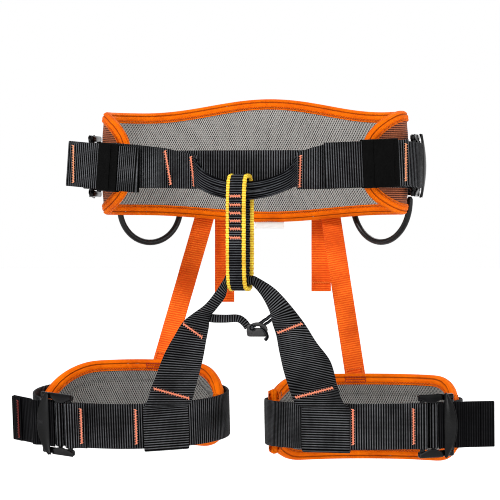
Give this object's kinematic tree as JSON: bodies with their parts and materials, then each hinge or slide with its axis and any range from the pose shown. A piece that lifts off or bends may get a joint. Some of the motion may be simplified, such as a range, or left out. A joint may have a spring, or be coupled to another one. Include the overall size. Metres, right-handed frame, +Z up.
{
  "type": "tree climbing saddle",
  "caption": "Arborist climbing saddle: padded waist belt with tie-in bridge, belay loop and gear loops, and padded leg loops on orange risers.",
  "frame": {"origin": "centre of the waist ring, half way up the belt", "axes": "+X towards the wearer's left, -Y to the front, +Z up, as the saddle hangs when worn"},
  "size_m": [0.4806, 0.231, 0.3639],
  "materials": {
    "webbing_black": "ribbed woven polyester",
    "webbing_orange": "ribbed woven polyester",
    "belay_webbing": "woven, with yellow edges",
    "pad_lining": "spacer mesh",
    "pad_outer": "woven mesh",
    "pad_foam": "closed-cell foam",
    "binding": "woven tape",
    "elastic": "smooth woven elastic",
    "buckle_metal": "black coated, semi-gloss",
    "tube": "smooth tube",
    "lock_plastic": "moulded",
    "label": "plain white",
    "cord": "thin woven cord"
  },
  "bodies": {
    "waist": {"waist_pad_lining": "pad_lining", "waist_pad_foam": "pad_foam", "waist_pad_outer": "pad_outer", "waist_pad_binding": "binding", "care_label": "label", "waist_back_belt": "webbing_black", "front_band": "webbing_black", "tie_in_bridge": "webbing_black", "leg_bridge_centre": "webbing_black", "spreader_lock": "lock_plastic", "front_belt_left": "webbing_black", "waist_tail_left": "webbing_black", "waist_keeper_left": "elastic", "waist_buckle_frame_left": "buckle_metal", "gear_tabs_left": "webbing_black", "riser_lock_left": "lock_plastic", "riser_anchor_left": "webbing_black", "front_belt_right": "webbing_black", "waist_tail_right": "webbing_black", "waist_keeper_right": "elastic", "waist_buckle_frame_right": "buckle_metal", "gear_tabs_right": "webbing_black", "riser_lock_right": "lock_plastic", "riser_anchor_right": "webbing_black"},
    "leg_loop_left": {"leg_pad_lining_left": "pad_lining", "leg_pad_foam_left": "pad_foam", "leg_pad_outer_left": "pad_outer", "leg_pad_binding_left": "binding", "leg_belt_left": "webbing_black", "leg_tail_left": "webbing_black", "leg_buckle_frame_left": "buckle_metal", "leg_bridge_left": "webbing_black", "riser_left": "webbing_orange", "spreader_cord": "cord"},
    "waist_buckle_bar_left": {"waist_buckle_bar_left": "buckle_metal"},
    "leg_buckle_bar_left": {"leg_buckle_bar_left": "buckle_metal"},
    "gear_loop_left": {"gear_loop_left": "tube"},
    "riser_tail_left": {"riser_tail_left": "webbing_orange"},
    "leg_loop_right": {"leg_pad_lining_right": "pad_lining", "leg_pad_foam_right": "pad_foam", "leg_pad_outer_right": "pad_outer", "leg_pad_binding_right": "binding", "leg_belt_right": "webbing_black", "leg_tail_right": "webbing_black", "leg_buckle_frame_right": "buckle_metal", "leg_bridge_right": "webbing_black", "riser_right": "webbing_orange", "spreader_strap": "webbing_black"},
    "waist_buckle_bar_right": {"waist_buckle_bar_right": "buckle_metal"},
    "leg_buckle_bar_right": {"leg_buckle_bar_right": "buckle_metal"},
    "gear_loop_right": {"gear_loop_right": "tube"},
    "riser_tail_right": {"riser_tail_right": "webbing_orange"},
    "belay_loop": {"belay_loop": "belay_webbing"}
  },
  "joints": [
    {"name": "leg_loop_left_swing", "type": "hinge", "parent": "waist", "child": "leg_loop_left", "pos_m": [0.117, -0.0434, -0.06], "axis": [1, 0, 0], "range_deg": [-18, 10], "deforming": ["riser_left", "leg_bridge_left", "spreader_cord"]},
    {"name": "leg_loop_right_swing", "type": "hinge", "parent": "waist", "child": "leg_loop_right", "pos_m": [-0.117, -0.0481, -0.06], "axis": [1, 0, 0], "range_deg": [-18, 10], "deforming": ["riser_right", "leg_bridge_right", "spreader_strap"]},
    {"name": "belay_loop_swing", "type": "hinge", "parent": "waist", "child": "belay_loop", "pos_m": [0.005, -0.1085, -0.024], "axis": [1, 0, 0], "range_deg": [-2, 2]},
    {"name": "gear_loop_left_swing", "type": "hinge", "parent": "waist", "child": "gear_loop_left", "pos_m": [0.119, 0.064, -0.033], "axis": [0.7855, -0.6189, 0], "range_deg": [-5, 70]},
    {"name": "gear_loop_right_swing", "type": "hinge", "parent": "waist", "child": "gear_loop_right", "pos_m": [-0.119, 0.067, -0.033], "axis": [0.7894, 0.6139, 0], "range_deg": [-5, 70]},
    {"name": "riser_tail_left_swing", "type": "hinge", "parent": "waist", "child": "riser_tail_left", "pos_m": [0.051, 0.1054, -0.036], "axis": [1, 0, 0], "range_deg": [-1, 35]},
    {"name": "riser_tail_right_swing", "type": "hinge", "parent": "waist", "child": "riser_tail_right", "pos_m": [-0.049, 0.1054, -0.036], "axis": [1, 0, 0], "range_deg": [-1, 35]},
    {"name": "waist_buckle_bar_left_slide", "type": "slide", "parent": "waist", "child": "waist_buckle_bar_left", "axis": [0, -1, 0], "range_m": [0, 0.003]},
    {"name": "waist_buckle_bar_right_slide", "type": "slide", "parent": "waist", "child": "waist_buckle_bar_right", "axis": [0, -1, 0], "range_m": [0, 0.003]},
    {"name": "leg_buckle_bar_left_slide", "type": "slide", "parent": "leg_loop_left", "child": "leg_buckle_bar_left", "axis": [-0.7573, -0.6521, -0.0342], "range_m": [0, 0.003]},
    {"name": "leg_buckle_bar_right_slide", "type": "slide", "parent": "leg_loop_right", "child": "leg_buckle_bar_right", "axis": [0.8705, -0.4846, -0.0855], "range_m": [0, 0.003]}
  ]
}
